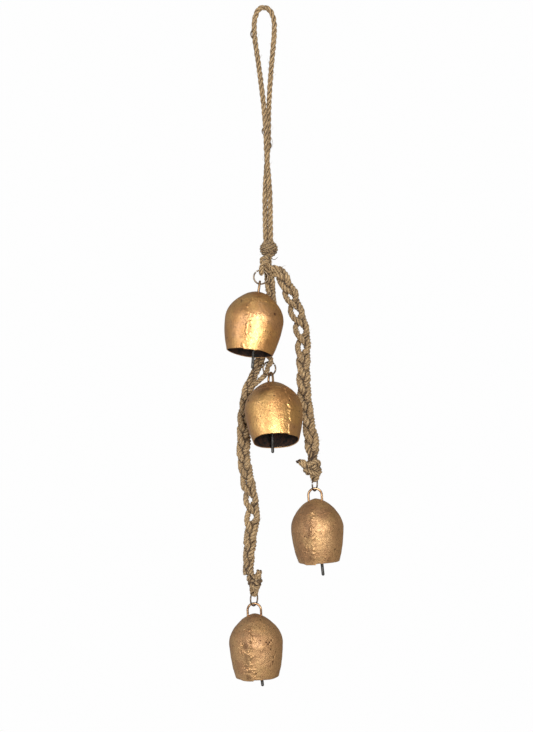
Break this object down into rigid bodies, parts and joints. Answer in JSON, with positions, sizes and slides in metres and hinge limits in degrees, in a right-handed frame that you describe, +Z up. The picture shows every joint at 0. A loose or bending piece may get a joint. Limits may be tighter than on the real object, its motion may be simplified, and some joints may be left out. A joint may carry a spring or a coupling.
{
  "type": "hanging rope bell chime",
  "caption": "Hanging string of rustic rolled-sheet brass-finished bells with rod clappers, on wire rings and braided jute rope with a hanging loop.",
  "frame": {"origin": "under the top of the hanging loop, where a hook or peg bears", "axes": "+Z up along the hanging string, +X to the right and +Y away from the viewer, towards the wall that it hangs on"},
  "size_m": [0.1187, 0.0813, 0.6827],
  "materials": {
    "jute_rope": "rough natural jute, twisted and braided",
    "hammered_brass": "hammered, patchy copper-gold patina over sheet iron",
    "bail_wire": "satin copper-gold wire",
    "ring_wire": "dark bronzed wire",
    "clapper_iron": "dark bare iron rod"
  },
  "bodies": {
    "hanger": {"hanging_loop": "jute_rope", "ball_knot": "jute_rope", "neck_knot": "jute_rope", "ring_1_bight": "jute_rope"},
    "right_branch": {"right_braid_upper": "jute_rope"},
    "right_end": {"right_braid_lower": "jute_rope", "right_end_knot": "jute_rope", "right_knot_tail": "jute_rope", "ring_3_bight": "jute_rope"},
    "left_branch": {"left_braid_upper": "jute_rope", "ring_2_bight": "jute_rope"},
    "left_end": {"left_braid_lower": "jute_rope", "left_end_knot": "jute_rope", "left_knot_tail": "jute_rope", "ring_4_bight": "jute_rope"},
    "ring_1": {"ring_1": "ring_wire"},
    "bell_1": {"bell_1_body": "hammered_brass", "bell_1_crown": "hammered_brass", "bell_1_bail": "bail_wire"},
    "clapper_1": {"clapper_1": "clapper_iron"},
    "ring_2": {"ring_2": "ring_wire"},
    "bell_2": {"bell_2_body": "hammered_brass", "bell_2_crown": "hammered_brass", "bell_2_bail": "bail_wire"},
    "clapper_2": {"clapper_2": "clapper_iron"},
    "ring_3": {"ring_3": "ring_wire"},
    "bell_3": {"bell_3_body": "hammered_brass", "bell_3_crown": "hammered_brass", "bell_3_bail": "bail_wire"},
    "clapper_3": {"clapper_3": "clapper_iron"},
    "ring_4": {"ring_4": "ring_wire"},
    "bell_4": {"bell_4_body": "hammered_brass", "bell_4_crown": "hammered_brass", "bell_4_bail": "bail_wire"},
    "clapper_4": {"clapper_4": "clapper_iron"}
  },
  "joints": [
    {"name": "right_branch_swing", "type": "hinge", "parent": "hanger", "child": "right_branch", "pos_m": [0.0104, 0.0005, -0.2597], "axis": [0, 1, 0], "range_deg": [-25, 0]},
    {"name": "right_end_swing", "type": "hinge", "parent": "right_branch", "child": "right_end", "pos_m": [0.0444, 0.006, -0.422], "axis": [1, 0, 0], "range_deg": [-25, 25]},
    {"name": "left_branch_swing", "type": "hinge", "parent": "hanger", "child": "left_branch", "pos_m": [0.0035, 0.0035, -0.2683], "axis": [0, 1, 0], "range_deg": [0, 20]},
    {"name": "left_end_swing", "type": "hinge", "parent": "left_branch", "child": "left_end", "pos_m": [-0.0226, 0.012, -0.446], "axis": [1, 0, 0], "range_deg": [-20, 20]},
    {"name": "ring_1_swing", "type": "hinge", "parent": "hanger", "child": "ring_1", "pos_m": [-0.0046, -0.008, -0.2628], "axis": [0, 1, 0], "range_deg": [-12, 20]},
    {"name": "bell_1_swing", "type": "hinge", "parent": "ring_1", "child": "bell_1", "pos_m": [-0.00638, -0.008, -0.27345], "axis": [0.9863, 0, -0.165], "range_deg": [-40, 0]},
    {"name": "clapper_1_swing", "type": "hinge", "parent": "bell_1", "child": "clapper_1", "pos_m": [-0.00865, -0.01117, -0.28959], "axis": [-0.0266, 0.9816, -0.189], "range_deg": [-15, 15]},
    {"name": "ring_2_swing", "type": "hinge", "parent": "left_branch", "child": "ring_2", "pos_m": [0.0029, 0.004, -0.3537], "axis": [-0.4226, 0.9063, 0], "range_deg": [0, 12]},
    {"name": "bell_2_swing", "type": "hinge", "parent": "ring_2", "child": "bell_2", "pos_m": [0.00426, 0.00464, -0.3644], "axis": [0.8975, 0.4185, 0.1392], "range_deg": [-25, 0]},
    {"name": "clapper_2_swing", "type": "hinge", "parent": "bell_2", "child": "clapper_2", "pos_m": [0.00558, -0.00225, -0.37944], "axis": [0.3068, -0.8551, 0.418], "range_deg": [-10, 10]},
    {"name": "ring_3_swing", "type": "hinge", "parent": "right_end", "child": "ring_3", "pos_m": [0.0489, 0.004, -0.4692], "axis": [-0.9205, 0.3907, 0], "range_deg": [-25, 25]},
    {"name": "bell_3_swing", "type": "hinge", "parent": "ring_3", "child": "bell_3", "pos_m": [0.0489, 0.004, -0.48], "axis": [0.3907, 0.9205, 0], "range_deg": [-25, 25]},
    {"name": "clapper_3_swing", "type": "hinge", "parent": "bell_3", "child": "clapper_3", "pos_m": [0.04991, 0.004, -0.49657], "axis": [0.9981, 0, 0.061], "range_deg": [-17, 17]},
    {"name": "ring_4_swing", "type": "hinge", "parent": "left_end", "child": "ring_4", "pos_m": [-0.012, 0.008, -0.585], "axis": [-0.866, 0.5, 0], "range_deg": [-25, 25]},
    {"name": "bell_4_swing", "type": "hinge", "parent": "ring_4", "child": "bell_4", "pos_m": [-0.012, 0.008, -0.5958], "axis": [0.5, 0.866, 0], "range_deg": [-25, 25]},
    {"name": "clapper_4_swing", "type": "hinge", "parent": "bell_4", "child": "clapper_4", "pos_m": [-0.01119, 0.008, -0.61238], "axis": [0.9988, 0, 0.0489], "range_deg": [-17, 17]}
  ]
}
